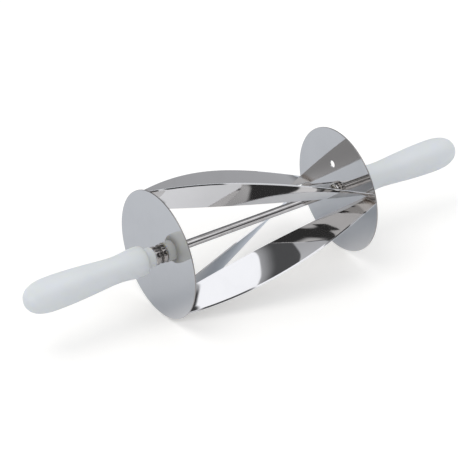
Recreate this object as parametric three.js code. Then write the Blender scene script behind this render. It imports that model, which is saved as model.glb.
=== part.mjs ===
// Croissant cutter: a drum of two steel discs and four twisted blades, which turns
// on an axle between two handles and cuts rolled dough into triangles.
// Millimetres, +Z up. X runs along the axle, and the tool stands at z = 0 on its discs' rims.

import * as THREE from 'three';

// Clearances
const seatGap = 0.3; // between pieces that are welded, screwed or pressed together
const runningGap = 0.3; // between pieces that turn against each other

// Discs
const discDiameter = 110;
const discThickness = 1;
const discRimBevel = 0.2;
const cuttingWidth = 180; // between the discs' inner faces
const hangingHoleDiameter = 6;
const hangingHoleOffset = 22.6; // from the axle
const hangingHoleAngle = 111; // degrees, see aroundAxle

// Blades
const bladeThickness = 1;
const bladeRimInset = 0.2; // from the discs' rims to the cutting edge
const bladeEdgeGap = 8; // between neighbours' cutting edges, at the disc where they meet
const bladeBackGap = 2.7; // between neighbours' backs, at the same disc
const bladeBackMidRadius = 25.5; // the back's distance from the axle, half-way
const bladeBackEndRadius = 39; // the same at the discs
const bladeGrindWidth = 1.3; // thinned along the cutting edge
const bladeEdgeLand = 0.3; // thickness left at the cutting edge
const firstBladeAngle = 63; // degrees, half-way between the discs

// Axle
const axleDiameter = 7.3;
const axleThreadDiameter = 5;
const axleThreadReach = 4; // past the handle's insert
const axleChamfer = 0.6;

// Hubs and bushes
const hubDiameter = 14;
const hubLength = 3.2; // inside the drum
const hubChamfer = 0.6;
const bushWall = 0.8;
const hubWall = 1.4; // round the bush, where the hub passes through its disc

// Retaining rings
const ringThickness = 1;
const ringDiameter = 11;
const ringGrip = 0.3; // depth of the ring in the axle's groove
const ringMouth = 70; // degrees left open

// Thrust washers and collars
const washerDiameter = 14.5;
const washerThickness = 0.8;
const collarDiameter = 16;
const collarLength = 4;
const collarChamfer = 0.5;

// Handles
const handleLength = 118;
const neckDiameter = 17;
const neckLength = 7.5;
const shoulderDiameter = 25.2;
const shoulderLength = 5; // from the neck to the widest place of the shoulder
const waistDiameter = 22.2;
const waistDistance = 36; // from the handle's inner face
const gripDiameter = 28.2;
const tipLength = 25; // rounded end
const tipBluntness = 0.68; // 0.55 is an ellipse, 1 a square end

// Threaded inserts
const insertDiameter = 10;
const insertLength = 22;
const insertDepth = 4; // below the handle's inner face
const insertGrooveWidth = 6;
const insertGrooveDepth = 1;

// Facets
const discSides = 96;
const handleSides = 32;
const turnedSides = 32;
const bladeSteps = 36;
const handleCurveSteps = 7;

// Finishes
const mirrorSteel = { color: 0xc6c9cd, metalness: 1, roughness: 0.08 };
const turnedSteel = { color: 0xa7a29d, metalness: 1, roughness: 0.28 };
const springSteel = { color: 0x8b8782, metalness: 1, roughness: 0.35 };
const brass = { color: 0xb5934c, metalness: 1, roughness: 0.35 };
const whitePolyethylene = { color: 0xdfe2e0, metalness: 0, roughness: 0.42 };
const nylon = { color: 0xe6e0cf, metalness: 0, roughness: 0.5 };

// Places along the axle, from the middle of the drum outwards
const discInnerFace = cuttingWidth / 2;
const discOuterFace = discInnerFace + discThickness;
const hubInnerFace = discInnerFace - seatGap - hubLength;
const ringInnerFace = hubInnerFace - runningGap - ringThickness;
const washerInnerFace = discOuterFace + runningGap;
const collarInnerFace = washerInnerFace + washerThickness + seatGap;
const handleInnerFace = collarInnerFace + collarLength + seatGap;
const insertInnerFace = handleInnerFace + insertDepth;
const axleShoulder = insertInnerFace - seatGap;
const axleEnd = insertInnerFace + insertLength + axleThreadReach;

// Radii
const discRadius = discDiameter / 2;
const axleRadius = axleDiameter / 2;
const threadRadius = axleThreadDiameter / 2;
const journalBore = axleRadius + runningGap;
const threadBore = threadRadius + seatGap;
const bushRadius = journalBore + bushWall;
const hubBore = bushRadius + seatGap;
const spigotRadius = hubBore + hubWall;
const discBore = spigotRadius + seatGap;
const ringBore = axleRadius - ringGrip;
const ringGrooveRadius = ringBore - seatGap;

const rad = THREE.MathUtils.degToRad;

function piece(name, geometry, finish) {
  const mesh = new THREE.Mesh(geometry, new THREE.MeshStandardMaterial(finish));
  mesh.name = name;
  return mesh;
}

// Corners of a regular polygon whose sides touch a circle, one of them at the bottom.
function polygon(radius, sides, across = 0, up = 0) {
  const cornerRadius = radius / Math.cos(Math.PI / sides);
  return Array.from({ length: sides }, (_, i) => {
    const angle = ((2 * i + 1) * Math.PI) / sides - Math.PI / 2;
    return new THREE.Vector2(across + cornerRadius * Math.cos(angle), up + cornerRadius * Math.sin(angle));
  });
}

// A turned piece: [distance along the axle, radius] points, revolved round the axle.
// The outline passes along the outside in the +X direction and through the bore in the other.
function turned(outline, sides) {
  const profile = outline.map(([along, radius]) => new THREE.Vector2(radius, along));
  const halfFacet = Math.PI / sides;
  const geometry = new THREE.LatheGeometry(profile, sides, halfFacet);
  return geometry.rotateZ(-Math.PI / 2);
}

// A turned ring with chamfered outer corners and a plain bore.
function turnedRing(start, length, outerRadius, boreRadius, chamfer) {
  const end = start + length;
  return turned([
    [start, boreRadius],
    [start, outerRadius - chamfer],
    [start + chamfer, outerRadius],
    [end - chamfer, outerRadius],
    [end, outerRadius - chamfer],
    [end, boreRadius],
    [start, boreRadius],
  ], turnedSides);
}

// A flat outline in the disc's plane (Y across, Z up) becomes a plate that starts at x = start.
function plate(shape, start, thickness, bevel) {
  const geometry = new THREE.ExtrudeGeometry(shape, {
    depth: thickness - 2 * bevel,
    bevelEnabled: bevel > 0,
    bevelThickness: bevel,
    bevelSize: bevel,
    bevelOffset: -bevel,
    bevelSegments: 1,
    curveSegments: turnedSides / 2,
  });
  const across = new THREE.Vector3(0, 1, 0);
  const up = new THREE.Vector3(0, 0, 1);
  const along = new THREE.Vector3(1, 0, 0);
  geometry.translate(0, 0, bevel);
  geometry.applyMatrix4(new THREE.Matrix4().makeBasis(across, up, along));
  return geometry.translate(start, 0, 0);
}

// Point at an angle round the axle: 0 degrees is the front (-Y), 90 degrees is up.
function aroundAxle(x, radius, angle) {
  return new THREE.Vector3(x, -radius * Math.cos(angle), radius * Math.sin(angle));
}

function discGeometry(start, ...holes) {
  const shape = new THREE.Shape(polygon(discRadius, discSides));
  shape.holes = holes.map((corners) => new THREE.Path(corners));
  return plate(shape, start, discThickness, discRimBevel);
}

function leftDiscGeometry() {
  return discGeometry(-discOuterFace, polygon(discBore, turnedSides));
}

function rightDiscGeometry() {
  const hole = aroundAxle(0, hangingHoleOffset, rad(hangingHoleAngle));
  const hangingHole = polygon(hangingHoleDiameter / 2, turnedSides, hole.y, hole.z);
  return discGeometry(discInnerFace, polygon(discBore, turnedSides), hangingHole);
}

// Cross-sections of equal point count, joined in order and closed by a fan at each end. A section's
// second half runs back along its first half, and its squares are split the other way, so that
// the two faces of a twisted strip stay parallel.
function loft(sections) {
  const count = sections[0].length;
  const positions = sections.flat().flatMap((point) => point.toArray());
  const index = [];
  for (let s = 0; s + 1 < sections.length; s++) {
    for (let i = 0; i < count; i++) {
      const next = (i + 1) % count;
      const a = s * count + i;
      const b = s * count + next;
      const c = a + count;
      const d = b + count;
      if (2 * i < count) {
        index.push(a, c, b, b, c, d);
      } else {
        index.push(a, c, d, a, d, b);
      }
    }
  }
  const last = (sections.length - 1) * count;
  for (let i = 1; i + 1 < count; i++) {
    index.push(0, i, i + 1);
    index.push(last, last + i + 1, last + i);
  }
  const geometry = new THREE.BufferGeometry();
  geometry.setAttribute('position', new THREE.Float32BufferAttribute(positions, 3));
  geometry.setIndex(index);
  geometry.computeVertexNormals();
  return geometry;
}

// Blades stand in a zigzag: each one meets one neighbour at the left disc and the other neighbour
// at the right disc, so that the cuts between them are triangles.
const bladeCount = 4;
const bladePitch = (2 * Math.PI) / bladeCount;
const edgeRadius = discRadius - bladeRimInset;
const edgeHalfTwist = (bladePitch - bladeEdgeGap / edgeRadius) / 2;
const backHalfTwist = (bladePitch - bladeBackGap / bladeBackEndRadius) / 2;
const bladeHalfLength = discInnerFace - seatGap;

// The cutting edge is a helix just inside the rims. The place runs from -1 to 1 along the blade.
function edgePoint(midAngle, hand, place) {
  return aroundAxle(place * bladeHalfLength, edgeRadius, midAngle + hand * place * edgeHalfTwist);
}

// The back is nearly straight, so it comes closest to the axle half-way.
function backPoint(midAngle, hand, place) {
  const endHeight = bladeBackEndRadius * Math.cos(backHalfTwist);
  const endReach = bladeBackEndRadius * Math.sin(backHalfTwist);
  const height = THREE.MathUtils.lerp(bladeBackMidRadius, endHeight, place ** 2);
  const reach = hand * place * endReach;
  const angle = midAngle + Math.atan2(reach, height);
  return aroundAxle(place * bladeHalfLength, Math.hypot(height, reach), angle);
}

// One cross-section, square to the axle: the flat of the strip and its grind on both faces.
function bladeSection(midAngle, hand, place) {
  const back = backPoint(midAngle, hand, place);
  const edge = edgePoint(midAngle, hand, place);
  const width = back.distanceTo(edge);
  const across = edge.clone().sub(back).normalize();
  const sideways = new THREE.Vector3(1, 0, 0).cross(across);
  const step = 0.01;
  const offsetPoint = (distance, thickness) => {
    const share = distance / width;
    const at = (p) => backPoint(midAngle, hand, p).lerp(edgePoint(midAngle, hand, p), share);
    const along = at(place + step).sub(at(place - step));
    const normal = along.cross(across).normalize();
    return at(place).addScaledVector(sideways, thickness / 2 / normal.dot(sideways));
  };
  const stations = [[0, bladeThickness], [width - bladeGrindWidth, bladeThickness], [width, bladeEdgeLand]];
  const oneFace = stations.map(([distance, thickness]) => offsetPoint(distance, thickness));
  const otherFace = stations.map(([distance, thickness]) => offsetPoint(distance, -thickness));
  return [...oneFace, ...otherFace.reverse()];
}

function bladeGeometry(midAngle, hand) {
  const sections = [];
  for (let i = 0; i <= bladeSteps; i++) {
    sections.push(bladeSection(midAngle, hand, (2 * i) / bladeSteps - 1));
  }
  return loft(sections);
}

function axleGeometry() {
  const grooveStart = ringInnerFace - seatGap;
  const grooveEnd = hubInnerFace - runningGap + seatGap;
  const rightHalf = [
    [grooveStart, axleRadius],
    [grooveStart, ringGrooveRadius],
    [grooveEnd, ringGrooveRadius],
    [grooveEnd, axleRadius],
    [axleShoulder, axleRadius],
    [axleShoulder, threadRadius],
    [axleEnd - axleChamfer, threadRadius],
    [axleEnd, threadRadius - axleChamfer],
    [axleEnd, 0],
  ];
  const leftHalf = rightHalf.map(([along, radius]) => [-along, radius]).reverse();
  return turned([...leftHalf, ...rightHalf], turnedSides);
}

// Boss on the disc's inner face, with a spigot that passes through the disc.
function hubGeometry() {
  const bossEnd = discInnerFace - seatGap;
  return turned([
    [hubInnerFace, hubBore],
    [hubInnerFace, hubDiameter / 2 - hubChamfer],
    [hubInnerFace + hubChamfer, hubDiameter / 2],
    [bossEnd, hubDiameter / 2],
    [bossEnd, spigotRadius],
    [discOuterFace, spigotRadius],
    [discOuterFace, hubBore],
    [hubInnerFace, hubBore],
  ], turnedSides);
}

function bushGeometry() {
  return turnedRing(hubInnerFace, discOuterFace - hubInnerFace, bushRadius, journalBore, 0);
}

// Open spring ring that sits in the axle's groove.
function retainingRingGeometry() {
  const halfMouth = rad(ringMouth) / 2;
  const mouthSide = Math.PI / 2;
  const from = mouthSide + halfMouth;
  const to = mouthSide - halfMouth + 2 * Math.PI;
  const shape = new THREE.Shape();
  shape.absarc(0, 0, ringDiameter / 2, from, to);
  shape.absarc(0, 0, ringBore, to, from, true);
  shape.closePath();
  return plate(shape, ringInnerFace, ringThickness, 0);
}

function washerGeometry() {
  return turnedRing(washerInnerFace, washerThickness, washerDiameter / 2, journalBore, 0);
}

function collarGeometry() {
  return turnedRing(collarInnerFace, collarLength, collarDiameter / 2, journalBore, collarChamfer);
}

// Spool-shaped insert: its groove keys it in the moulded handle.
function insertGeometry() {
  const insertEnd = insertInnerFace + insertLength;
  const middle = insertInnerFace + insertLength / 2;
  const grooveRadius = insertDiameter / 2 - insertGrooveDepth;
  return turned([
    [insertInnerFace, threadBore],
    [insertInnerFace, insertDiameter / 2],
    [middle - insertGrooveWidth / 2, insertDiameter / 2],
    [middle - insertGrooveWidth / 2, grooveRadius],
    [middle + insertGrooveWidth / 2, grooveRadius],
    [middle + insertGrooveWidth / 2, insertDiameter / 2],
    [insertEnd, insertDiameter / 2],
    [insertEnd, threadBore],
    [insertInnerFace, threadBore],
  ], turnedSides);
}

// Outline of the handle from its inner face to the tip, as a path of along and radius.
function handleOutline() {
  const face = handleInnerFace;
  const neckEnd = face + neckLength;
  const shoulder = neckEnd + shoulderLength;
  const waist = face + waistDistance;
  const tip = face + handleLength;
  const swell = tip - tipLength;
  const neck = neckDiameter / 2;
  const shoulderRadius = shoulderDiameter / 2;
  const waistRadius = waistDiameter / 2;
  const grip = gripDiameter / 2;
  const shoulderEase = (waist - shoulder) / 2;
  const swellLength = swell - waist;
  const path = new THREE.Path();
  path.moveTo(face, neck);
  path.lineTo(neckEnd, neck);
  path.bezierCurveTo(
    neckEnd, THREE.MathUtils.lerp(neck, shoulderRadius, 0.75),
    THREE.MathUtils.lerp(neckEnd, shoulder, 0.35), shoulderRadius,
    shoulder, shoulderRadius,
  );
  path.bezierCurveTo(
    shoulder + shoulderEase, shoulderRadius,
    waist - shoulderEase, waistRadius,
    waist, waistRadius,
  );
  path.bezierCurveTo(
    waist + swellLength * 0.17, waistRadius,
    waist + swellLength * 0.55, grip,
    swell, grip,
  );
  path.bezierCurveTo(
    swell + tipLength * tipBluntness, grip,
    tip, grip * tipBluntness,
    tip, 0,
  );
  return path;
}

// The bore follows the axle's end and its insert, so the insert is locked in the moulding.
function handleGeometry() {
  const pocketRadius = insertDiameter / 2 + seatGap;
  const pocketStart = insertInnerFace - seatGap;
  const pocketEnd = insertInnerFace + insertLength + seatGap;
  const boreEnd = axleEnd + seatGap;
  const outside = handleOutline().getPoints(handleCurveSteps).map((point) => [point.x, point.y]);
  return turned([
    [boreEnd, 0],
    [boreEnd, threadBore],
    [pocketEnd, threadBore],
    [pocketEnd, pocketRadius],
    [pocketStart, pocketRadius],
    [pocketStart, journalBore],
    [handleInnerFace, journalBore],
    ...outside,
  ], handleSides);
}

// The drum: both discs with their hubs and bushes, and the blades between them.
function drum() {
  const group = new THREE.Group();
  group.add(piece('left_disc', leftDiscGeometry(), mirrorSteel));
  group.add(piece('right_disc', rightDiscGeometry(), mirrorSteel));
  const bladeNames = ['upper_front_blade', 'upper_rear_blade', 'lower_rear_blade', 'lower_front_blade'];
  bladeNames.forEach((name, i) => {
    const midAngle = rad(firstBladeAngle) + i * bladePitch;
    const hand = i % 2 === 0 ? -1 : 1;
    group.add(piece(name, bladeGeometry(midAngle, hand), mirrorSteel));
  });
  return group;
}

// What sits at one end of the drum and turns with it.
function drumEnd(side) {
  const group = new THREE.Group();
  group.add(piece(`${side}_hub`, hubGeometry(), turnedSteel));
  group.add(piece(`${side}_bush`, bushGeometry(), nylon));
  return group;
}

// What sits at one end of the axle and stands still while the drum turns.
function axleEndPieces(side) {
  const group = new THREE.Group();
  group.add(piece(`${side}_retaining_ring`, retainingRingGeometry(), springSteel));
  group.add(piece(`${side}_thrust_washer`, washerGeometry(), springSteel));
  group.add(piece(`${side}_collar`, collarGeometry(), turnedSteel));
  group.add(piece(`${side}_insert`, insertGeometry(), brass));
  group.add(piece(`${side}_handle`, handleGeometry(), whitePolyethylene));
  return group;
}

const cutter = new THREE.Group();
cutter.name = 'croissant_cutter';
cutter.position.z = discRadius;
cutter.add(drum());
cutter.add(piece('axle', axleGeometry(), turnedSteel));
for (const side of ['left', 'right']) {
  const end = new THREE.Group();
  end.rotation.z = side === 'left' ? Math.PI : 0;
  end.add(drumEnd(side), axleEndPieces(side));
  cutter.add(end);
}

export default cutter;
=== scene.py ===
import math
from contextlib import contextmanager

import bmesh
import bpy
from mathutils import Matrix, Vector
from mathutils.geometry import tessellate_polygon


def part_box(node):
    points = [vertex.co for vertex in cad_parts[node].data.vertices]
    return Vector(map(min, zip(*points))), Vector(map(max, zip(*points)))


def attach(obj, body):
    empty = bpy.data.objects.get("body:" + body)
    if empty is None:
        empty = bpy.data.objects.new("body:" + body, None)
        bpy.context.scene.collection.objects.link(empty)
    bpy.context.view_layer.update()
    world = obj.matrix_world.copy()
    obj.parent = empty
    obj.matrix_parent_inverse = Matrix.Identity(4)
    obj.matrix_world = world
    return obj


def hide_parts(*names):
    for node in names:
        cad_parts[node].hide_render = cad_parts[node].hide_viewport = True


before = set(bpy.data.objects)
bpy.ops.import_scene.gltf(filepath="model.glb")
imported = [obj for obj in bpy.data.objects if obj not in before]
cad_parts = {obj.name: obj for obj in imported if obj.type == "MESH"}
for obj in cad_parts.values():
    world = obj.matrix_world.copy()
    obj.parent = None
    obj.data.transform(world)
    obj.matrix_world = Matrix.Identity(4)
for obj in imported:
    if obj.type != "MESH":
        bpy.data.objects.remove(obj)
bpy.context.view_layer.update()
mm = 0.001

# places and radii that several pieces share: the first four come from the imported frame
discLow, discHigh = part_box("right_disc")
discInner, discOuter = discLow.x, discHigh.x
discRadius = (discHigh.z - discLow.z) / 2
axisHeight = (discLow.z + discHigh.z) / 2
bladeBack = (25.5 * mm, 39.0 * mm)  # the blades' backs, from the axle, half-way and at their ends
joinedGap = 0.3 * mm  # left between pieces that are joined
print("frame: disc radius %.1f mm, axis at %.1f mm" % (discRadius / mm, axisHeight / mm))


class Field:  # an output socket: operators on it add Math nodes
    def __init__(self, graph, socket):
        self.graph, self.socket = graph, socket

    def out(self, key):
        return Field(self.graph, self.socket.node.outputs[key])

    def __add__(self, other):
        return self.graph.math("ADD", self, other)

    def __radd__(self, other):
        return self.graph.math("ADD", other, self)

    def __sub__(self, other):
        return self.graph.math("SUBTRACT", self, other)

    def __rsub__(self, other):
        return self.graph.math("SUBTRACT", other, self)

    def __mul__(self, other):
        return self.graph.math("MULTIPLY", self, other)

    def __rmul__(self, other):
        return self.graph.math("MULTIPLY", other, self)

    def __truediv__(self, other):
        return self.graph.math("DIVIDE", self, other)

    def __rtruediv__(self, other):
        return self.graph.math("DIVIDE", other, self)


class Graph:  # a node tree, for shaders and for Geometry Nodes
    def __init__(self, tree):
        self.tree = tree

    def node(self, kind, settings=None, sockets=None, output=0):
        made = self.tree.nodes.new(kind)
        for name, value in (settings or {}).items():
            if name == "stops":
                self.setStops(made.color_ramp, value)
            else:
                setattr(made, name, value)
        for key, value in (sockets or {}).items():
            self.plug(made.inputs[key], value)
        return Field(self, made.outputs[output])

    def setStops(self, ramp, stops):
        while len(ramp.elements) < len(stops):
            ramp.elements.new(1.0)
        for element, (place, colour) in zip(ramp.elements, stops):
            element.position, element.color = place, (*colour, 1.0)

    def plug(self, socket, value):
        if isinstance(value, Field):
            self.tree.links.new(value.socket, socket)
        else:
            socket.default_value = value

    def math(self, operation, *values):
        return self.node("ShaderNodeMath", {"operation": operation}, dict(enumerate(values)))

    def split(self, vector):
        x = self.node("ShaderNodeSeparateXYZ", None, {0: vector})
        return x, x.out(1), x.out(2)

    def join(self, x, y, z):
        return self.node("ShaderNodeCombineXYZ", None, {0: x, 1: y, 2: z})

    def ease(self, value, low, high):  # smooth step from 0 at low to 1 at high
        settings = {"interpolation_type": "SMOOTHSTEP"}
        return self.node("ShaderNodeMapRange", settings, {"Value": value, "From Min": low, "From Max": high})

    def step(self, value, border, soft):  # the same across a border, soft to both sides of it
        return self.ease(value, border - soft, border + soft)

    def band(self, value, low, high, soft):
        return self.step(value, low, soft) * (1 - self.step(value, high, soft))

    def mix(self, factor, first, second):
        first, second = (c if isinstance(c, Field) else (*c, 1.0) for c in (first, second))
        sockets = {0: factor, 6: first, 7: second}
        return self.node("ShaderNodeMix", {"data_type": "RGBA"}, sockets, 2)

    def noise(self, vector, scale, detail=3.0, roughness=0.6):
        sockets = {"Vector": vector, "Scale": scale, "Detail": detail, "Roughness": roughness}
        return self.node("ShaderNodeTexNoise", None, sockets)

    def stretched(self, vector, scale, turn=(0, 0, 0)):
        sockets = {"Vector": vector, "Rotation": turn, "Scale": scale}
        return self.node("ShaderNodeMapping", None, sockets)

    def bump(self, height, strength, distance, normal=None):
        sockets = {"Height": height, "Strength": strength, "Distance": distance}
        if normal:
            sockets["Normal"] = normal
        return self.node("ShaderNodeBump", None, sockets)

    def inputs(self, **kinds):  # named inputs of a Geometry Nodes tree
        interface = self.tree.interface
        interface.new_socket("Geometry", in_out="INPUT", socket_type="NodeSocketGeometry")
        for name, kind in kinds.items():
            interface.new_socket(name, in_out="INPUT", socket_type="NodeSocket" + kind)
        interface.new_socket("Geometry", in_out="OUTPUT", socket_type="NodeSocketGeometry")
        first = self.node("NodeGroupInput")
        return {name: first.out(name) for name in ["Geometry", *kinds]}

    def end(self, geometry, material):  # realised, with its material, as the export needs
        real = self.node("GeometryNodeRealizeInstances", None, {"Geometry": geometry})
        dressed = self.node("GeometryNodeSetMaterial", None, {"Geometry": real, "Material": material})
        last = self.tree.nodes.new("NodeGroupOutput")
        self.plug(last.inputs[0], dressed)


def newMaterial(name, **constants):
    material = bpy.data.materials.new(name)
    material.use_nodes = True
    graph = Graph(material.node_tree)
    shader = material.node_tree.nodes["Principled BSDF"]
    for socket, value in constants.items():
        shader.inputs[socket].default_value = value
    coordinates = graph.node("ShaderNodeTexCoord").out("Object")
    return material, graph, shader, coordinates


def setSurface(graph, shader, colour, roughness, normal=None):
    for key, value in (("Base Color", colour), ("Roughness", roughness), ("Normal", normal)):
        if value:
            graph.plug(shader.inputs[key], value)


def between(ends, share):
    return ends[0] + (ends[1] - ends[0]) * share


def fromAxle(graph, place):  # along the axle, back, up from it, and straight away from it
    x, y, z = graph.split(place)
    up = z - axisHeight
    return x, y, up, graph.math("SQRT", y * y + up * up)


# finishes

polish = {
    "colour": (0.585, 0.568, 0.549),  # mirror-polished stainless sheet
    "smudge": (0.535, 0.520, 0.503),
    "smudgeScale": 38.0,
    "smudgeRange": (0.45, 0.75),
    "smudgeShare": 0.35,
    "roughness": (0.025, 0.065),  # clean and smudged
    "lineScale": 2600.0,  # fine buffing marks
    "lineStretch": 0.012,  # along the blades
    "lineTurn": 0.0006,  # round the discs, metres for each radian
    "lineDepth": 0.0006 * mm,
    "lineStrength": 0.15,
    "lineRoughness": 0.02,
    "heat": (0.340, 0.265, 0.215),  # straw and brown tint beside the welds
    "heatShare": 0.45,
    "heatRoughness": 0.12,
    "heatMottle": (0.55, 1.45),
    "mottleScale": 420.0,
    "discHeatRadius": 46.0 * mm,  # the middle of a weld, from the axle
    "discHeatOval": 0.45,
    "discHeatReach": (1.5 * mm, 8.0 * mm),
    "bladeHeatReach": (0.5 * mm, 5.0 * mm),
    "roll": (0.05 * mm, 0.10 * mm),  # at the blade's back and at its cutting edge
    "cut": (0.270, 0.250, 0.232),  # the disc's cut edge, left unpolished
    "cutRoughness": 0.28,
    "cutDepth": (0.20 * mm, 0.12 * mm),  # below the rim, where it starts and where it is full
}


def mirrorSteel(name, heatMask, lines, edgeMask=None, swell=None):
    material, graph, shader, place = newMaterial(name, Metallic=1.0)
    smudge = graph.ease(graph.noise(place, polish["smudgeScale"], 4.0), *polish["smudgeRange"])
    grain = graph.noise(lines(graph, place), polish["lineScale"], 2.0)
    mottle = between(polish["heatMottle"], graph.noise(place, polish["mottleScale"]))
    tint = graph.math("MINIMUM", heatMask(graph, place) * mottle, 1.0)
    colour = graph.mix(smudge * polish["smudgeShare"], polish["colour"], polish["smudge"])
    colour = graph.mix(tint * polish["heatShare"], colour, polish["heat"])
    rough = between(polish["roughness"], smudge) + polish["lineRoughness"] * grain
    rough = rough + polish["heatRoughness"] * tint
    if edgeMask:
        cut = edgeMask(graph, place)
        colour = graph.mix(cut, colour, polish["cut"])
        rough = rough + polish["cutRoughness"] * cut
    shape = graph.bump(swell(graph, place), 1.0, 1.0) if swell else None
    lineBump = graph.bump(grain, polish["lineStrength"], polish["lineDepth"], shape)
    setSurface(graph, shader, colour, rough, lineBump)
    return material


def bladeSwell(graph, place):  # belt polishing rolls the strip's faces off towards their edges
    x, y, up, radius = fromAxle(graph, place)
    along = x / discInner
    back = between(bladeBack, along * along)
    share = 2 * (radius - back) / (discRadius - back) - 1
    squared = share * share
    depth = between(polish["roll"], graph.math("GREATER_THAN", share, 0.0))
    return squared * squared * share * depth


def discLines(graph, place):  # buffing marks run round the axle
    x, y, up, radius = fromAxle(graph, place)
    around = graph.math("ARCTAN2", up, y) * polish["lineTurn"]
    return graph.join(radius, around, x)


def bladeLines(graph, place):  # along the strip
    return graph.stretched(place, (polish["lineStretch"], 1.0, 1.0))


def discEdge(graph, place):
    x, y, up, radius = fromAxle(graph, place)
    start, full = polish["cutDepth"]
    return graph.ease(radius, discRadius - start, discRadius - full)


def discHeat(angle):  # two places, half a turn apart, where a pair of blades is welded on
    cosine, sine = math.cos(math.radians(angle)), math.sin(math.radians(angle))

    def mask(graph, place):
        x, y, z = graph.split(place)
        up = z - axisHeight
        outward = graph.math("ABSOLUTE", up * sine - y * cosine) - polish["discHeatRadius"]
        side = up * cosine + y * sine
        away = graph.math("SQRT", outward * outward * polish["discHeatOval"] + side * side)
        inside = graph.math("LESS_THAN", graph.math("ABSOLUTE", x), (discInner + discOuter) / 2)
        return inside * (1 - graph.ease(away, *polish["discHeatReach"]))

    return mask


def bladeHeat(graph, place):
    x, y, z = graph.split(place)
    gap = discInner - graph.math("ABSOLUTE", x)
    return 1 - graph.ease(gap, *polish["bladeHeatReach"])


turning = {
    "dark": (0.430, 0.405, 0.382),
    "bright": (0.500, 0.478, 0.455),
    "stainScale": 160.0,
    "stainRange": (0.3, 0.7),
    "roughness": (0.04, 0.10),
    "ringScale": 5200.0,  # tool marks, along the axle
    "ringStretch": 0.02,
    "ringDepth": 0.001 * mm,
    "ringStrength": 0.2,
    "collarShade": 1.05,
    "collarRoughness": (0.05, 0.10),
    "springShade": 0.8,
}


def turnedSteel(name, shade=1.0, roughness=turning["roughness"]):
    material, graph, shader, place = newMaterial(name, Metallic=1.0)
    x, y, z = graph.split(place)
    stretch = turning["ringStretch"]
    marks = graph.noise(graph.join(x, y * stretch, z * stretch), turning["ringScale"], 3.0, 0.65)
    stain = graph.ease(graph.noise(place, turning["stainScale"], 3.0, 0.55), *turning["stainRange"])
    dark, bright = (tuple(c * shade for c in turning[key]) for key in ("dark", "bright"))
    ringBump = graph.bump(marks, turning["ringStrength"], turning["ringDepth"])
    setSurface(graph, shader, graph.mix(stain, dark, bright), between(roughness, marks), ringBump)
    return material


weldMetal = {
    "stops": [(0.30, (0.54, 0.52, 0.49)), (0.52, (0.46, 0.41, 0.36)), (0.72, (0.34, 0.31, 0.31))],
    "patchScale": 380.0,
    "roughness": (0.22, 0.47),
    "grainScale": 3600.0,
    "grainDepth": 0.02 * mm,
    "grainStrength": 0.3,
}


def weldSteel():
    material, graph, shader, place = newMaterial("weldSteel", Metallic=1.0)
    patch = graph.noise(place, weldMetal["patchScale"])
    colour = graph.node("ShaderNodeValToRGB", {"stops": weldMetal["stops"]}, {"Fac": patch})
    grain = graph.noise(place, weldMetal["grainScale"], 2.0, 0.5)
    grainBump = graph.bump(grain, weldMetal["grainStrength"], weldMetal["grainDepth"])
    setSurface(graph, shader, colour, between(weldMetal["roughness"], patch), grainBump)
    return material


grip = {
    "colour": (0.735, 0.745, 0.732),
    "cloud": (0.712, 0.724, 0.702),
    "cloudScale": 34.0,
    "cloudRange": (0.35, 0.7),
    "cloudShare": 0.6,
    "roughness": (0.34, 0.46),
    "skinScale": 2400.0,
    "skinDepth": 0.012 * mm,
    "skinStrength": 0.25,
    "scuffScale": 900.0,
    "scuffStretch": (0.05, 1.0, 1.0),
    "scuffTurn": (0, 0.35, 0.2),
    "scuffRange": (0.66, 0.8),
    "scuffRoughness": 0.10,
    "scuffHeight": 0.4,
    "glowWeight": 0.6,  # light that spreads below the skin
    "glowDepth": 4.0 * mm,
    "glowSpread": (1.0, 0.88, 0.55),
    "ior": 1.5,
}


def whitePolyethylene():
    constants = {"Subsurface Weight": grip["glowWeight"], "Subsurface Scale": grip["glowDepth"]}
    constants.update({"Subsurface Radius": grip["glowSpread"], "IOR": grip["ior"]})
    material, graph, shader, place = newMaterial("whitePolyethylene", **constants)
    cloud = graph.ease(graph.noise(place, grip["cloudScale"], 3.0, 0.55), *grip["cloudRange"])
    skin = graph.noise(place, grip["skinScale"])
    along = graph.stretched(place, grip["scuffStretch"], grip["scuffTurn"])
    scuff = graph.ease(graph.noise(along, grip["scuffScale"], 2.0, 0.5), *grip["scuffRange"])
    colour = graph.mix(cloud * grip["cloudShare"], grip["colour"], grip["cloud"])
    rough = between(grip["roughness"], cloud) + grip["scuffRoughness"] * scuff
    skinBump = graph.bump(skin + grip["scuffHeight"] * scuff, grip["skinStrength"], grip["skinDepth"])
    setSurface(graph, shader, colour, rough, skinBump)
    return material


nylon = {
    "dark": (0.72, 0.68, 0.58),
    "light": (0.80, 0.76, 0.66),
    "roughness": (0.42, 0.57),
    "grainScale": 500.0,
    "grainDepth": 0.01 * mm,
    "grainStrength": 0.3,
}


def bushNylon():
    material, graph, shader, place = newMaterial("bushNylon")
    grain = graph.noise(place, nylon["grainScale"])
    colour = graph.mix(grain, nylon["dark"], nylon["light"])
    grainBump = graph.bump(grain, nylon["grainStrength"], nylon["grainDepth"])
    setSurface(graph, shader, colour, between(nylon["roughness"], grain), grainBump)
    return material


brass = {
    "dark": (0.62, 0.44, 0.16),
    "light": (0.74, 0.57, 0.27),
    "roughness": (0.24, 0.44),
    "patchScale": 300.0,
}


def threadBrass():
    material, graph, shader, place = newMaterial("threadBrass", Metallic=1.0)
    patch = graph.noise(place, brass["patchScale"])
    colour = graph.mix(patch, brass["dark"], brass["light"])
    setSurface(graph, shader, colour, between(brass["roughness"], patch))
    return material


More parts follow.
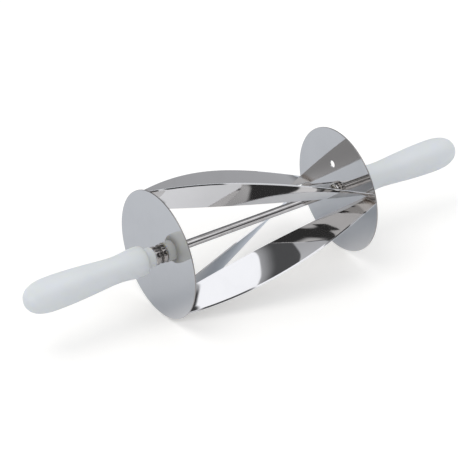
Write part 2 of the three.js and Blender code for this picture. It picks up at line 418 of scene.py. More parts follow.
discWeldAngle = {"left": 108.0, "right": 18.0}  # round the axle from the front, see aroundAxle
finishes = {
    "leftDisc": mirrorSteel("leftDiscSteel", discHeat(discWeldAngle["left"]), discLines, discEdge),
    "rightDisc": mirrorSteel("rightDiscSteel", discHeat(discWeldAngle["right"]), discLines, discEdge),
    "blade": mirrorSteel("bladeSteel", bladeHeat, bladeLines, swell=bladeSwell),
    "turned": turnedSteel("turnedSteel"),
    "collar": turnedSteel("collarSteel", turning["collarShade"], turning["collarRoughness"]),
    "spring": turnedSteel("springSteel", turning["springShade"]),
    "weld": weldSteel(),
    "grip": whitePolyethylene(),
    "nylon": bushNylon(),
    "brass": threadBrass(),
}
print("finishes: %d materials" % len(finishes))


# mesh helpers

def aroundAxle(x, radius, degrees):  # 0 degrees is the front, 90 is up
    angle = math.radians(degrees)
    return Vector((x, -radius * math.cos(angle), axisHeight + radius * math.sin(angle)))


def dress(name, mesh, material, body, slot, *replaced):
    mesh.name = name
    if not mesh.materials:
        mesh.materials.append(material)
    piece = bpy.data.objects.new(name, mesh)
    bpy.context.scene.collection.objects.link(piece)
    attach(piece, body)
    if replaced:
        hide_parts(*replaced)
    return piece


@contextmanager
def reworked(mesh):
    work = bmesh.new()
    work.from_mesh(mesh)
    yield work
    work.to_mesh(mesh)
    work.free()


def shadeSmooth(mesh, sharpAngle):
    mesh.shade_smooth()
    mesh.set_sharp_from_angle(angle=math.radians(sharpAngle))


def closedMesh(points, faces, sharpAngle=50):
    mesh = bpy.data.meshes.new("piece")
    mesh.from_pydata(points, [], faces)
    with reworked(mesh) as work:
        bmesh.ops.remove_doubles(work, verts=work.verts, dist=1e-7)
        bmesh.ops.recalc_face_normals(work, faces=work.faces)
    shadeSmooth(mesh, sharpAngle)
    return mesh


def roundCorners(mesh, cornerAngle, reach, sharpAngle):
    with reworked(mesh) as work:
        bmesh.ops.recalc_face_normals(work, faces=work.faces)
        corners = [e for e in work.edges if e.calc_face_angle(0.0) > math.radians(cornerAngle)]
        settings = {"segments": 2, "affect": "EDGES", "clamp_overlap": True}
        bmesh.ops.bevel(work, geom=corners, offset=reach, **settings)
    shadeSmooth(mesh, sharpAngle)


def softened(outline, soft, steps=4, closed=True):  # corners rounded over a distance
    count, most = len(outline), 0.45  # no corner takes more than this share of a side
    rounded = []
    for i, corner in enumerate(outline):
        if not closed and i in (0, count - 1):
            rounded.append(corner)
            continue
        here = Vector(corner)
        before, after = Vector(outline[i - 1]) - here, Vector(outline[(i + 1) % count]) - here
        reach = min(soft, most * before.length, most * after.length)
        start, end = here + before.normalized() * reach, here + after.normalized() * reach
        for k in range(steps + 1):
            t = k / steps
            rounded.append(tuple(start * (1 - t) ** 2 + here * 2 * t * (1 - t) + end * t * t))
    return rounded


def turnedMesh(outline, sides, mirrored, closed=True, sharpAngle=50):
    points, faces = [], []
    flip = -1 if mirrored else 1  # the left end is the right one turned half round
    for along, radius in outline:
        for k in range(sides):
            angle = 2 * math.pi * (k + 0.5) / sides
            y, z = radius * math.cos(angle), radius * math.sin(angle)
            points.append((flip * along, flip * y, axisHeight + z))
    rings = len(outline)
    for i in range(rings if closed else rings - 1):
        for k in range(sides):
            a, b = i * sides, ((i + 1) % rings) * sides
            following = (k + 1) % sides
            faces.append((a + k, a + following, b + following, b + k))
    return closedMesh(points, faces, sharpAngle)


def plateMesh(start, end, edgeRound, edgeSteps, rim, holes):  # flat plate with rounded rims
    profile = []
    for face, inward in ((start, 1), (end, -1)):
        arc = [k / edgeSteps * math.pi / 2 for k in range(edgeSteps + 1)]
        ring = [(face + inward * edgeRound * (1 - math.cos(a)), edgeRound * (1 - math.sin(a))) for a in arc]
        profile += ring if inward > 0 else ring[::-1]
    points, faces, firstLoops, lastLoops = [], [], [], []
    for loop, inset in [(rim, -1)] + [(hole, 1) for hole in holes]:
        base, sides = len(points), loop["sides"]
        for x, depth in profile:
            for k in range(sides):
                angle = 2 * math.pi * (k + 0.5) / sides
                radius = loop["radius"] + inset * depth
                y = loop["centre"][0] + radius * math.cos(angle)
                points.append((x, y, loop["centre"][1] + radius * math.sin(angle)))
        for i in range(len(profile) - 1):
            for k in range(sides):
                a, following = base + i * sides, (k + 1) % sides
                faces.append((a + k, a + following, a + sides + following, a + sides + k))
        firstLoops.append(list(range(base, base + sides)))
        lastBase = base + (len(profile) - 1) * sides
        lastLoops.append(list(range(lastBase, lastBase + sides)))
    for loops in (firstLoops, lastLoops):
        order = [i for loop in loops for i in loop]
        flat = [[Vector((points[i][1], points[i][2], 0)) for i in loop] for loop in loops]
        faces += [tuple(order[c] for c in corners) for corners in tessellate_polygon(flat)]
    mesh = closedMesh(points, faces)
    square = 0.9999  # how far along the axle a flat face's normal points, at least
    with reworked(mesh) as work:
        for edge in work.edges:  # the flat faces keep their own normals, so that they mirror truly
            flats = [abs(face.normal.x) > square for face in edge.link_faces]
            if any(flats) and not all(flats):
                edge.smooth = False
    return mesh


def fromNodes(tree, carrier, values):  # a Geometry Nodes result as a plain mesh
    host = bpy.data.objects.new("host", carrier)
    bpy.context.scene.collection.objects.link(host)
    modifier = host.modifiers.new("nodes", "NODES")
    modifier.node_group = tree
    for item in tree.interface.items_tree:
        if item.in_out == "INPUT" and item.name in values:
            modifier[item.identifier] = values[item.name]
    host.update_tag()
    bpy.context.view_layer.update()
    graph = bpy.context.evaluated_depsgraph_get()
    mesh = bpy.data.meshes.new_from_object(host.evaluated_get(graph))
    host.modifiers.remove(modifier)
    bpy.data.objects.remove(host)
    return mesh


# discs

disc = {
    "sides": 256,
    "edgeRound": 0.25 * mm,
    "edgeSteps": 3,
    "bore": {"centre": (0, axisHeight), "radius": 6.75 * mm, "sides": 64},
    "hangingHole": {"radius": 3.0 * mm, "sides": 48},
    "hangingHoleOffset": 22.6 * mm,
    "hangingHoleAngle": 111.0,
}


def makeDiscs():
    rim = {"centre": (0, axisHeight), "radius": discRadius, "sides": disc["sides"]}
    hole = aroundAxle(0, disc["hangingHoleOffset"], disc["hangingHoleAngle"])
    hanging = dict(disc["hangingHole"], centre=(hole.y, hole.z))
    edge = (disc["edgeRound"], disc["edgeSteps"])
    left = plateMesh(-discOuter, -discInner, *edge, rim, [disc["bore"]])
    right = plateMesh(discInner, discOuter, *edge, rim, [disc["bore"], hanging])
    dress("leftDisc", left, finishes["leftDisc"], "drum", "mirror_steel", "left_disc")
    dress("rightDisc", right, finishes["rightDisc"], "drum", "mirror_steel", "right_disc")


makeDiscs()
print("discs: two polished plates")


# blades

blade = {
    "edgeRadius": discRadius - 0.2 * mm,
    "edgeGap": 8.0 * mm,  # between neighbours' cutting edges, at the disc where they meet
    "backGap": 2.7 * mm,
    "backMidRadius": bladeBack[0],
    "backEndRadius": bladeBack[1],
    "thickness": 1.0 * mm,
    "grindWidth": 1.3 * mm,
    "edgeLand": 0.3 * mm,
    "slant": 1.065,  # a square section of the twisted strip is a little thicker than the strip
    "flatSteps": 10,
    "grindSteps": 2,
    "lengthSteps": 180,
    "cornerAngle": 40.0,
    "edgeRound": 0.14 * mm,
    "creaseAngle": 5.0,  # small, so that the grind's line stays crisp
}
blades = {  # name: node, angle half-way between the discs, hand of the twist
    "upperFrontBlade": ("upper_front_blade", 63.0, -1.0),
    "upperRearBlade": ("upper_rear_blade", 153.0, 1.0),
    "lowerRearBlade": ("lower_rear_blade", 243.0, -1.0),
    "lowerFrontBlade": ("lower_front_blade", 333.0, 1.0),
}
edgeTwist = (math.pi / 2 - blade["edgeGap"] / blade["edgeRadius"]) / 2
backTwist = (math.pi / 2 - blade["backGap"] / blade["backEndRadius"]) / 2


def bladeTree():
    graph = Graph(bpy.data.node_groups.new("twistedBlade", "GeometryNodeTree"))
    sizes = ["halfLength", "midAngle", "hand", "edgeRadius", "edgeTwist", "backMidRadius", "backEndRadius"]
    sizes += ["backTwist", "thickness", "grindWidth", "edgeLand", "height"]
    given = graph.inputs(**{name: "Float" for name in sizes}, steel="Material")
    half = blade["flatSteps"] + blade["grindSteps"] + 1
    loop = 2 * half
    counts = {"Vertices": loop, "Side Segments": blade["lengthSteps"], "Radius": 1.0, "Depth": 2.0}
    strip = graph.node("GeometryNodeMeshCylinder", {"fill_type": "NGON"}, counts)
    place = graph.split(graph.node("GeometryNodeInputPosition"))[2]  # -1 to 1 along the blade
    step = graph.math("MODULO", graph.node("GeometryNodeInputIndex"), loop)
    farFace = graph.math("GREATER_THAN", step, half - 0.5)
    row = step + farFace * ((loop - 1) - 2 * step)  # 0 at the back, on both faces
    onFlat = graph.math("MINIMUM", row / blade["flatSteps"], 1.0)
    onGrind = graph.math("MAXIMUM", (row - blade["flatSteps"]) / blade["grindSteps"], 0.0)
    # the cutting edge is a helix just inside the rims
    edgeAngle = given["midAngle"] + given["hand"] * place * given["edgeTwist"]
    edgeY = -1 * given["edgeRadius"] * graph.math("COSINE", edgeAngle)
    edgeZ = given["edgeRadius"] * graph.math("SINE", edgeAngle)
    # the back is nearly straight, and comes closest to the axle half-way
    endHeight = given["backEndRadius"] * graph.math("COSINE", given["backTwist"])
    reach = given["hand"] * place * given["backEndRadius"] * graph.math("SINE", given["backTwist"])
    rise = given["backMidRadius"] + (endHeight - given["backMidRadius"]) * place * place
    cosine, sine = graph.math("COSINE", given["midAngle"]), graph.math("SINE", given["midAngle"])
    backY = reach * sine - rise * cosine
    backZ = rise * sine + reach * cosine
    acrossY, acrossZ = edgeY - backY, edgeZ - backZ
    width = graph.math("SQRT", acrossY * acrossY + acrossZ * acrossZ)
    share = (onFlat * (width - given["grindWidth"]) + onGrind * given["grindWidth"]) / width
    thickness = given["thickness"] + onGrind * (given["edgeLand"] - given["thickness"])
    aside = (farFace * 2 - 1) * thickness * (blade["slant"] / 2) / width
    y = backY + acrossY * share - acrossZ * aside
    z = backZ + acrossZ * share + acrossY * aside + given["height"]
    at = graph.join(place * given["halfLength"], y, z)
    bent = graph.node("GeometryNodeSetPosition", None, {"Geometry": strip, "Position": at})
    graph.end(bent, given["steel"])
    return graph.tree


def makeBlades():
    tree = bladeTree()
    own = ("edgeRadius", "backMidRadius", "backEndRadius", "thickness", "grindWidth", "edgeLand")
    sizes = {key: blade[key] for key in own}
    sizes.update(halfLength=discInner, edgeTwist=edgeTwist, backTwist=backTwist, height=axisHeight)
    for name, (node, angle, hand) in blades.items():
        values = dict(sizes, midAngle=math.radians(angle), hand=hand, steel=finishes["blade"])
        mesh = fromNodes(tree, bpy.data.meshes.new("carrier"), values)
        roundCorners(mesh, blade["cornerAngle"], blade["edgeRound"], blade["creaseAngle"])
        dress(name, mesh, finishes["blade"], "drum", "mirror_steel", node)


makeBlades()
print("blades: four twisted strips, half twist %.1f degrees" % math.degrees(edgeTwist))


# hubs, bushes and what sits on the axle at each end

axle = {"radius": 3.65 * mm, "threadRadius": 2.5 * mm, "tipChamfer": 0.6 * mm, "soft": 0.14 * mm, "sides": 72}
hub = {"radius": 7.0 * mm, "bore": 5.05 * mm, "spigot": 6.45 * mm, "chamfer": 0.6 * mm, "soft": 0.2 * mm}
bush = {"radius": 4.75 * mm, "bore": 3.95 * mm, "soft": 0.2 * mm}
washer = {"radius": 7.25 * mm, "bore": 3.95 * mm, "soft": 0.2 * mm}
collar = {"radius": 8.0 * mm, "bore": 3.95 * mm, "chamfer": 0.5 * mm, "soft": 0.25 * mm}
insert = {"radius": 5.0 * mm, "bore": 2.8 * mm, "waist": 4.0 * mm, "waistLength": 6.0 * mm, "soft": 0.2 * mm}
ring = {
    "radius": 5.5 * mm,
    "bore": 3.35 * mm,
    "mouth": 70.0,  # degrees
    "steps": 56,
    "soft": 0.12 * mm,
    "cornerAngle": 60.0,
    "sharpAngle": 30.0,
}
turnedSides = 72


def span(node):  # where a right-hand node starts and ends along the axle
    low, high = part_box(node)
    return low.x, high.x


def ringOutline(node, sizes):
    start, end = span(node)
    radius, bore, chamfer = sizes["radius"], sizes["bore"], sizes.get("chamfer", 0.0)
    if not chamfer:
        return [(start, bore), (start, radius), (end, radius), (end, bore)]
    return [
        (start, bore), (start, radius - chamfer), (start + chamfer, radius),
        (end - chamfer, radius), (end, radius - chamfer), (end, bore),
    ]


def hubOutline():
    start, end = span("right_hub")
    radius, bore, spigot, chamfer = (hub[key] for key in ("radius", "bore", "spigot", "chamfer"))
    return [
        (start, bore), (start, radius - chamfer), (start + chamfer, radius),
        (discInner, radius), (discInner, spigot), (end, spigot), (end, bore),
    ]


def insertOutline():
    start, end = span("right_insert")
    radius, bore, waist = (insert[key] for key in ("radius", "bore", "waist"))
    middle, half = (start + end) / 2, insert["waistLength"] / 2
    return [
        (start, bore), (start, radius), (middle - half, radius), (middle - half, waist),
        (middle + half, waist), (middle + half, radius), (end, radius), (end, bore),
    ]


def makeTurnedEnds():
    held = "handles_and_axle"
    washerOutline = ringOutline("right_thrust_washer", washer)
    rows = [  # label, node, sizes, outline, finish, body, slot
        ("Hub", "hub", hub, hubOutline(), "turned", "drum", "turned_steel"),
        ("Bush", "bush", bush, ringOutline("right_bush", bush), "nylon", "drum", "nylon"),
        ("ThrustWasher", "thrust_washer", washer, washerOutline, "spring", held, "spring_steel"),
        ("Collar", "collar", collar, ringOutline("right_collar", collar), "collar", held, "turned_steel"),
        ("Insert", "insert", insert, insertOutline(), "brass", held, "brass_insert"),
    ]
    for label, node, sizes, outline, finish, body, slot in rows:
        for side in ("left", "right"):
            mesh = turnedMesh(softened(outline, sizes["soft"]), turnedSides, side == "left")
            dress(side + label, mesh, finishes[finish], body, slot, side + "_" + node)


def makeAxle():
    tip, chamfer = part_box("axle")[1].x, axle["tipChamfer"]
    radius, thread = axle["radius"], axle["threadRadius"]
    grooveStart, grooveEnd = span("right_retaining_ring")
    grooveStart, grooveEnd = grooveStart - joinedGap, grooveEnd + joinedGap
    groove = ring["bore"] - joinedGap
    shoulder = span("right_insert")[0] - joinedGap
    right = [
        (grooveStart, radius), (grooveStart, groove), (grooveEnd, groove), (grooveEnd, radius),
        (shoulder, radius), (shoulder, thread), (tip - chamfer, thread), (tip, thread - chamfer), (tip, 0.0),
    ]
    left = [(-along, away) for along, away in reversed(right)]
    outline = softened(left + right, axle["soft"], 3, closed=False)
    mesh = turnedMesh(outline, axle["sides"], False, closed=False)
    dress("axleBar", mesh, finishes["turned"], "handles_and_axle", "turned_steel", "axle")


def makeRetainingRings():
    start, end = span("right_retaining_ring")
    steps, half = ring["steps"], math.radians(ring["mouth"]) / 2
    first, last = math.pi / 2 + half, math.pi / 2 - half + 2 * math.pi
    angles = [first + (last - first) * k / steps for k in range(steps + 1)]
    loop = [(ring["radius"], a) for a in angles] + [(ring["bore"], a) for a in reversed(angles)]
    count = len(loop)
    faces = [(i, (i + 1) % count, count + (i + 1) % count, count + i) for i in range(count)]
    for k in range(steps):  # both flat faces, as rows of quads
        inner = count - 1 - k
        faces.append((k, k + 1, inner - 1, inner))
        faces.append((count + k, count + k + 1, count + inner - 1, count + inner))
    for side, flip in (("left", -1), ("right", 1)):
        points = []
        for x in (start, end):
            points += [(flip * x, flip * r * math.cos(a), axisHeight + r * math.sin(a)) for r, a in loop]
        mesh = closedMesh(points, faces, ring["sharpAngle"])
        roundCorners(mesh, ring["cornerAngle"], ring["soft"], ring["sharpAngle"])
        name = side + "RetainingRing"
        dress(name, mesh, finishes["spring"], "handles_and_axle", "spring_steel", side + "_retaining_ring")


makeTurnedEnds()
makeAxle()
makeRetainingRings()
print("axle: bar, two hubs, bushes, rings, washers, collars and inserts")


# handles

handle = {
    "neck": 8.5 * mm,  # radii
    "shoulder": 12.6 * mm,
    "waist": 11.1 * mm,
    "swell": 14.1 * mm,
    "neckLength": 7.5 * mm,
    "shoulderLength": 5.0 * mm,
    "shoulderPull": (0.75, 0.35),  # how far the curves' control points reach, out and along
    "waistDistance": 36.0 * mm,
    "swellPull": (0.17, 0.55),  # along, from the waist
    "tipLength": 25.0 * mm,
    "tipBluntness": 0.68,
    "mouthSoft": 0.9 * mm,  # rounding where the neck meets its flat end
    "mouthSteps": 5,
    "curveSteps": 28,
    "sides": 96,
    "sharpAngle": 60,
}


def bezier(points, steps):
    a, b, c, d = (Vector(p) for p in points)
    made = []
    for k in range(1, steps + 1):
        t = k / steps
        u = 1 - t
        made.append(tuple(a * u ** 3 + b * 3 * t * u * u + c * 3 * t * t * u + d * t ** 3))
    return made


def handleOutline():
    face, tip = span("right_handle")
    neck, shoulder, waist, swell = (handle[key] for key in ("neck", "shoulder", "waist", "swell"))
    neckEnd = face + handle["neckLength"]
    crown = neckEnd + handle["shoulderLength"]
    narrow = face + handle["waistDistance"]
    full = tip - handle["tipLength"]
    ease, rise = (narrow - crown) / 2, full - narrow
    out, along = handle["shoulderPull"]
    early, late = handle["swellPull"]
    blunt = handle["tipBluntness"]
    curves = [
        [(neckEnd, neck), (neckEnd, neck + out * (shoulder - neck)),
         (neckEnd + along * (crown - neckEnd), shoulder), (crown, shoulder)],
        [(crown, shoulder), (crown + ease, shoulder), (narrow - ease, waist), (narrow, waist)],
        [(narrow, waist), (narrow + rise * early, waist), (narrow + rise * late, swell), (full, swell)],
        [(full, swell), (full + handle["tipLength"] * blunt, swell), (tip, swell * blunt), (tip, 0.0)],
    ]
    outside = []
    for curve in curves:
        outside += bezier(curve, handle["curveSteps"])
    pocketStart, pocketEnd = span("right_insert")
    pocketStart, pocketEnd = pocketStart - joinedGap, pocketEnd + joinedGap
    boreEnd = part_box("axle")[1].x + joinedGap
    pocket, journal, thread = insert["radius"] + joinedGap, collar["bore"], insert["bore"]
    inside = [
        (boreEnd, 0.0), (boreEnd, thread), (pocketEnd, thread), (pocketEnd, pocket),
        (pocketStart, pocket), (pocketStart, journal), (face, journal), (face, neck), (neckEnd, neck),
    ]
    return softened(inside, handle["mouthSoft"], handle["mouthSteps"], closed=False) + outside


def makeHandles():
    outline = handleOutline()
    for side in ("left", "right"):
        name, mirrored = side + "Handle", side == "left"
        mesh = turnedMesh(outline, handle["sides"], mirrored, closed=False, sharpAngle=handle["sharpAngle"])
        dress(name, mesh, finishes["grip"], "handles_and_axle", "white_polyethylene", side + "_handle")


makeHandles()
print("handles: two moulded grips")


# weld beads: rippled tubes along the blades' ends and round the hubs

weld = {
    "beadRadius": 0.55 * mm,
    "beadOffset": 0.3,  # of its radius, off the disc
    "span": (0.10, 0.90),  # of the blade's end, from its back to its cutting edge
    "hubBeadRadius": 0.45 * mm,
    "hubBeadOffset": 0.2,
    "hubBeadPoints": 120,
    "ripplePitch": 0.9 * mm,
    "rippleSteps": 9,
    "rippleDepth": 0.22,
    "uneven": (0.86, 1.12),  # each ripple's size
    "sides": 12,
    "sharpAngle": 60,
    "seed": 4,
}


def beadTree():
    graph = Graph(bpy.data.node_groups.new("weldBead", "GeometryNodeTree"))
    given = graph.inputs(radius="Float", pitch="Float", depth="Float", seed="Int", steel="Material")
    sockets = {"Curve": given["Geometry"], "Length": given["pitch"] / weld["rippleSteps"]}
    path = graph.node("GeometryNodeResampleCurve", {"mode": "LENGTH"}, sockets)
    phase = graph.node("GeometryNodeSplineParameter").out("Length") / given["pitch"]
    number = graph.math("FLOOR", phase)
    ripple = phase - number  # each ripple rises slowly and drops at its end
    least, most = weld["uneven"]
    sockets = {2: least, 3: most, "ID": number, "Seed": given["seed"]}
    uneven = graph.node("FunctionNodeRandomValue", {"data_type": "FLOAT"}, sockets, 1)
    swell = (1 - given["depth"] * (1 - ripple) * (1 - ripple)) * uneven
    sockets = {"Resolution": weld["sides"], "Radius": given["radius"]}
    circle = graph.node("GeometryNodeCurvePrimitiveCircle", None, sockets)
    sockets = {"Curve": path, "Profile Curve": circle, "Scale": swell, "Fill Caps": True}
    graph.end(graph.node("GeometryNodeCurveToMesh", None, sockets), given["steel"])
    return graph.tree


def beadPath(points, cyclic=False):
    curve = bpy.data.curves.new("path", "CURVE")
    curve.dimensions = "3D"
    spline = curve.splines.new("POLY")
    spline.points.add(len(points) - 1)
    for slot, point in zip(spline.points, points):
        slot.co = (*point, 1.0)
    spline.use_cyclic_u = cyclic
    return curve


def makeWelds():
    tree = beadTree()
    sizes = {"pitch": weld["ripplePitch"], "depth": weld["rippleDepth"], "steel": finishes["weld"]}
    meshes = []
    seed = weld["seed"]
    for node, angle, hand in blades.values():
        for end in (-1, 1):
            x = end * (discInner - weld["beadOffset"] * weld["beadRadius"])
            edge = aroundAxle(x, blade["edgeRadius"], angle + math.degrees(hand * end * edgeTwist))
            back = aroundAxle(x, blade["backEndRadius"], angle + math.degrees(hand * end * backTwist))
            across = edge - back
            aside = Vector((1, 0, 0)).cross(across).normalized() * blade["thickness"] / 2
            for face in (-1, 1):
                ends = [back + across * share + aside * face for share in weld["span"]]
                seed += 1
                values = dict(sizes, radius=weld["beadRadius"], seed=seed)
                meshes.append(fromNodes(tree, beadPath(ends), values))
    count = weld["hubBeadPoints"]
    for end in (-1, 1):
        x = end * (discInner - weld["hubBeadOffset"] * weld["hubBeadRadius"])
        circle = [aroundAxle(x, hub["radius"], 360.0 / count * k) for k in range(count)]
        seed += 1
        values = dict(sizes, radius=weld["hubBeadRadius"], seed=seed)
        meshes.append(fromNodes(tree, beadPath(circle, True), values))
    joined = bmesh.new()
    for mesh in meshes:
        joined.from_mesh(mesh)
    bmesh.ops.recalc_face_normals(joined, faces=joined.faces)
    mesh = bpy.data.meshes.new("weldBeads")
    joined.to_mesh(mesh)
    joined.free()
    shadeSmooth(mesh, weld["sharpAngle"])
    dress("weldBeads", mesh, finishes["weld"], "drum", "turned_steel")
    return len(meshes)


print("welds: %d beads" % makeWelds())


# studio: a light tent with a softbox in its front, a slit behind that and an opening for the camera

daylight = (0.965, 1.0, 1.075)
white = (1, 1, 1)


def lightRays(graph):  # seen plainly or through glass, seen in a mirror, and how many bounces away
    path = graph.node("ShaderNodeLightPath")
    seen = graph.math("MAXIMUM", path.out("Is Camera Ray"), path.out("Is Transmission Ray"))
    return seen, path.out("Is Glossy Ray"), path.out("Ray Depth")


ground = {
    "half": 6.0,
    "drop": 0.05 * mm,  # below the discs
    "colour": 0.78,
    "roughness": 0.9,
    "glow": 0.32,
    "mirroredGlow": (1.05, 0.22),  # shares of it that metal shows, before the drum and, as painted shade, behind it
    "shadeFade": (-0.03, 0.012),
    "shade": (0.60, 1.0, 1.50),  # painted shade on the floor behind the drum, blue as of shade lit by the sky
    "card": 0.07,  # two black cards on the floor before the camera, seen in the metal only
    "nearCard": (-0.150, 0.37, 0.52),  # in one mirror: its front, and its sides as x over y
    "farCard": (-0.470, 0.44, 0.75),  # in two mirrors
    "cardEnd": (-1.8, -1.4),
    "cardSoft": 0.006,
}


def makeFloor():
    half, low = ground["half"], -ground["drop"]
    corners = [(-half, -half, low), (half, -half, low), (half, half, low), (-half, half, low)]
    mesh = bpy.data.meshes.new("floor")
    mesh.from_pydata(corners, [], [(0, 1, 2, 3)])
    floor = bpy.data.objects.new("floor", mesh)
    bpy.context.scene.collection.objects.link(floor)
    constants = {"Roughness": ground["roughness"], "Specular IOR Level": 0.0}
    constants["Emission Strength"] = ground["glow"]
    material, graph, shader, place = newMaterial("paleFloor", **constants)
    seen, glossy, bounces = lightRays(graph)
    x, y, z = graph.split(place)
    once = graph.math("LESS_THAN", bounces, 1.5)  # seen in one mirror, not in two
    soft = ground["cardSoft"]

    def wedge(front, right, left):
        beside = (1 - graph.step(x - right * y, 0.0, soft)) * graph.step(x - left * y, 0.0, soft)
        return beside * (1 - graph.step(y, front, soft))

    card = wedge(*ground["nearCard"]) * graph.ease(y, *ground["cardEnd"]) * once
    card = (card + wedge(*ground["farCard"]) * (1 - once)) * glossy
    pale = (ground["colour"],) * 3
    neutral = tuple(ground["colour"] / c for c in daylight)  # shadows without the daylight's blue
    lit = graph.mix(seen, pale, neutral)
    graph.plug(shader.inputs["Base Color"], graph.mix(card, lit, (ground["card"],) * 3))
    # painted shade: the floor's glow that metal shows drops and turns blue under and behind the drum, where
    # the drum's shadow falls
    before, behind = ground["mirroredGlow"]
    near, shadedGlow = tuple(before * c for c in daylight), tuple(behind * c for c in ground["shade"])
    mirrored = graph.mix(graph.ease(y, *ground["shadeFade"]), near, shadedGlow)
    glow = graph.mix(glossy - card, (0, 0, 0), mirrored)
    graph.plug(shader.inputs["Emission Color"], graph.mix(seen, glow, white))
    mesh.materials.append(material)


tent = {  # radiances, places in degrees round from the front and above the horizon, soft borders
    "farWall": 0.58,
    "leftWall": 1.06,
    "leftFade": (-0.5, 0.0),  # as shares of the tent's radius
    "frontWall": 0.88,
    "frontLean": (-34.0, -12.0),
    "frontEnd": (20.0, 70.0),
    "softbox": 1.58,
    "softboxLow": 38.5,  # its lowest corner
    "softboxCorner": -20.0,  # the same corner, round from the front
    "softboxSlope": 0.75,
    "softboxShoulder": 10.0,
    "softboxSoft": 1.5,
    "slit": (0.56, 0.115),  # beside the softbox and further off
    "slitFront": -0.146,  # across the tent's top, as shares of its radius
    "slitFade": (-0.014, 0.116),  # from its front
    "slitTilt": 0.38,
    "slitRear": 0.066,
    "slitSoft": 0.007,
    "slitFoot": 53.0,
    "slitFootSoft": 3.0,
    "opening": 0.075,
    "openingFoot": -37.5,  # at the horizon
    "openingLean": 12.5,
    "openingLeanRise": (2.0, 20.0),
    "openingHalfWidth": 8.5,
    "openingSoft": 2.0,
    "openingSkirt": 1.3,  # wider to the right, near the floor
    "openingSkirtRise": (6.0, 18.0),
    "hoodFoot": 30.5,  # wide dark part over the opening
    "hoodFootSoft": 1.5,
    "hoodSides": (-58.0, -9.0),
    "patches": [  # radiance, sides, foot and top
        (0.16, (14.0, 52.0), (-90.0, 32.0)),  # a gap under the tent's right front
        (0.24, (134.0, 166.0), (-90.0, 44.0)),  # gaps behind, right and left
        (0.14, (-158.0, -108.0), (24.0, 60.0)),
        (1.80, (-104.0, -66.0), (-90.0, 48.0)),  # a second softbox, on the left
    ],
    "sideSoft": 3.0,
    "topSoft": 4.0,
    "plain": 0.85,  # the tent's even light on what isn't metal
}


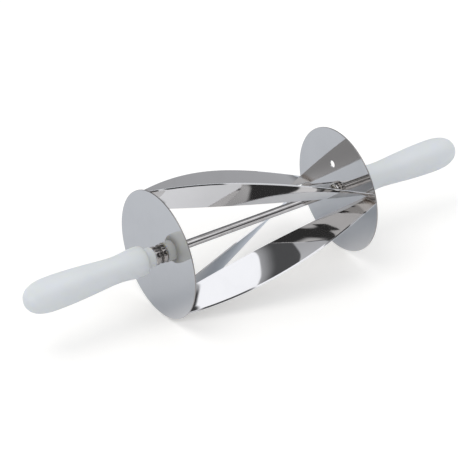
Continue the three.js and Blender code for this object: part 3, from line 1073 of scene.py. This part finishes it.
def makeWorld():
    world = bpy.data.worlds.new("studio")
    bpy.context.scene.world = world
    world.use_nodes = True
    graph = Graph(world.node_tree)
    x, y, z = graph.split(graph.node("ShaderNodeTexCoord").out("Generated"))
    around = graph.math("DEGREES", graph.math("ARCTAN2", x, -1 * y))
    rise = graph.math("DEGREES", graph.math("ARCSINE", z))
    # the softbox, with one corner hanging low
    corner = graph.math("ABSOLUTE", around - tent["softboxCorner"])
    shoulder = graph.math("MINIMUM", corner * tent["softboxSlope"], tent["softboxShoulder"])
    high = graph.step(rise - (tent["softboxLow"] + shoulder), 0.0, tent["softboxSoft"])
    depth = y - tent["slitTilt"] * x
    slitFront, slitSoft = tent["slitFront"], tent["slitSoft"]
    front = 1 - graph.step(depth, slitFront, slitSoft)
    # the slit, lit by the softbox along its near side
    rear = graph.step(y, tent["slitRear"], slitSoft)
    foot = graph.step(rise, tent["slitFoot"], tent["slitFootSoft"])
    slit = (1 - front) * (1 - rear) * foot
    fade = graph.ease(depth, *(slitFront + end for end in tent["slitFade"]))
    # the opening leans to the right as it rises, and widens below the softbox
    middle = tent["openingFoot"] + tent["openingLean"] * graph.ease(rise, *tent["openingLeanRise"])
    aside = graph.math("ABSOLUTE", around - middle)
    skirt = tent["openingSkirt"] * (1 - graph.ease(rise, *tent["openingSkirtRise"]))
    skirt = skirt * graph.math("GREATER_THAN", around, middle)
    column = 1 - graph.step(aside - skirt, tent["openingHalfWidth"], tent["openingSoft"])
    hood = graph.band(around, *tent["hoodSides"], tent["sideSoft"])
    hood = hood * graph.step(rise, tent["hoodFoot"], tent["hoodFootSoft"])
    opening = graph.math("MAXIMUM", column, hood) * (1 - high)
    # the walls, and then what is lighter or darker than they are
    left = 1 - graph.ease(x, *tent["leftFade"])
    ahead = graph.ease(around - rise, *tent["frontLean"]) * (1 - graph.ease(around, *tent["frontEnd"]))
    level = between((tent["farWall"], tent["leftWall"]), left)
    level = level + ahead * (tent["frontWall"] - level)
    masks = [(front * high, tent["softbox"]), (slit, between(tent["slit"], fade)), (opening, tent["opening"])]
    for value, sides, heights in tent["patches"]:
        across = graph.band(around, *sides, tent["sideSoft"])
        masks.append((across * graph.band(rise, *heights, tent["topSoft"]), value))
    for mask, value in masks:
        level = level + mask * (value - level)
    seen, glossy, bounces = lightRays(graph)
    level = tent["plain"] + glossy * (level - tent["plain"])
    background = world.node_tree.nodes["Background"]
    graph.plug(background.inputs["Color"], graph.mix(seen, daylight, white))
    graph.plug(background.inputs["Strength"], level + seen * (1 - level))


topLamp = {"power": 5.0, "size": 0.9, "place": (-0.65, 0.12, 1.60)}


def makeLamp():
    lamp = bpy.data.lights.new("topSoftbox", "AREA")
    lamp.shape = "SQUARE"
    lamp.size = topLamp["size"]
    lamp.energy = topLamp["power"]
    holder = bpy.data.objects.new("topSoftbox", lamp)
    bpy.context.scene.collection.objects.link(holder)
    holder.location = topLamp["place"]
    aim = Vector((0, 0, axisHeight)) - holder.location
    holder.rotation_euler = aim.to_track_quat("-Z", "Y").to_euler()
    holder.visible_glossy = False
    holder.visible_camera = False


camera = {
    "azimuth": -34.26,
    "elevation": 32.25,
    "distance": 1.86813,
    "right": -0.01745,  # the view's centre, from the middle of the axle
    "up": -0.00645,
    "lens": 177.23,
    "sensor": 36.0,
    "clip": (0.05, 50.0),
}


def makeCamera():
    turn, rise = math.radians(camera["azimuth"]), math.radians(camera["elevation"])
    back = Vector((math.sin(turn) * math.cos(rise), -math.cos(turn) * math.cos(rise), math.sin(rise)))
    right = Vector((math.cos(turn), math.sin(turn), 0))
    up = back.cross(right)
    data = bpy.data.cameras.new("camera")
    data.lens, data.sensor_width = camera["lens"], camera["sensor"]
    data.clip_start, data.clip_end = camera["clip"]
    holder = bpy.data.objects.new("camera", data)
    bpy.context.scene.collection.objects.link(holder)
    middle = Vector((0, 0, axisHeight)) + right * camera["right"] + up * camera["up"]
    holder.location = middle + back * camera["distance"]
    holder.rotation_euler = back.to_track_quat("Z", "Y").to_euler()
    bpy.context.scene.camera = holder


makeFloor()
makeWorld()
makeLamp()
makeCamera()
bpy.context.scene.view_settings.view_transform = "Standard"
print("studio: floor, tent, lamp and camera")
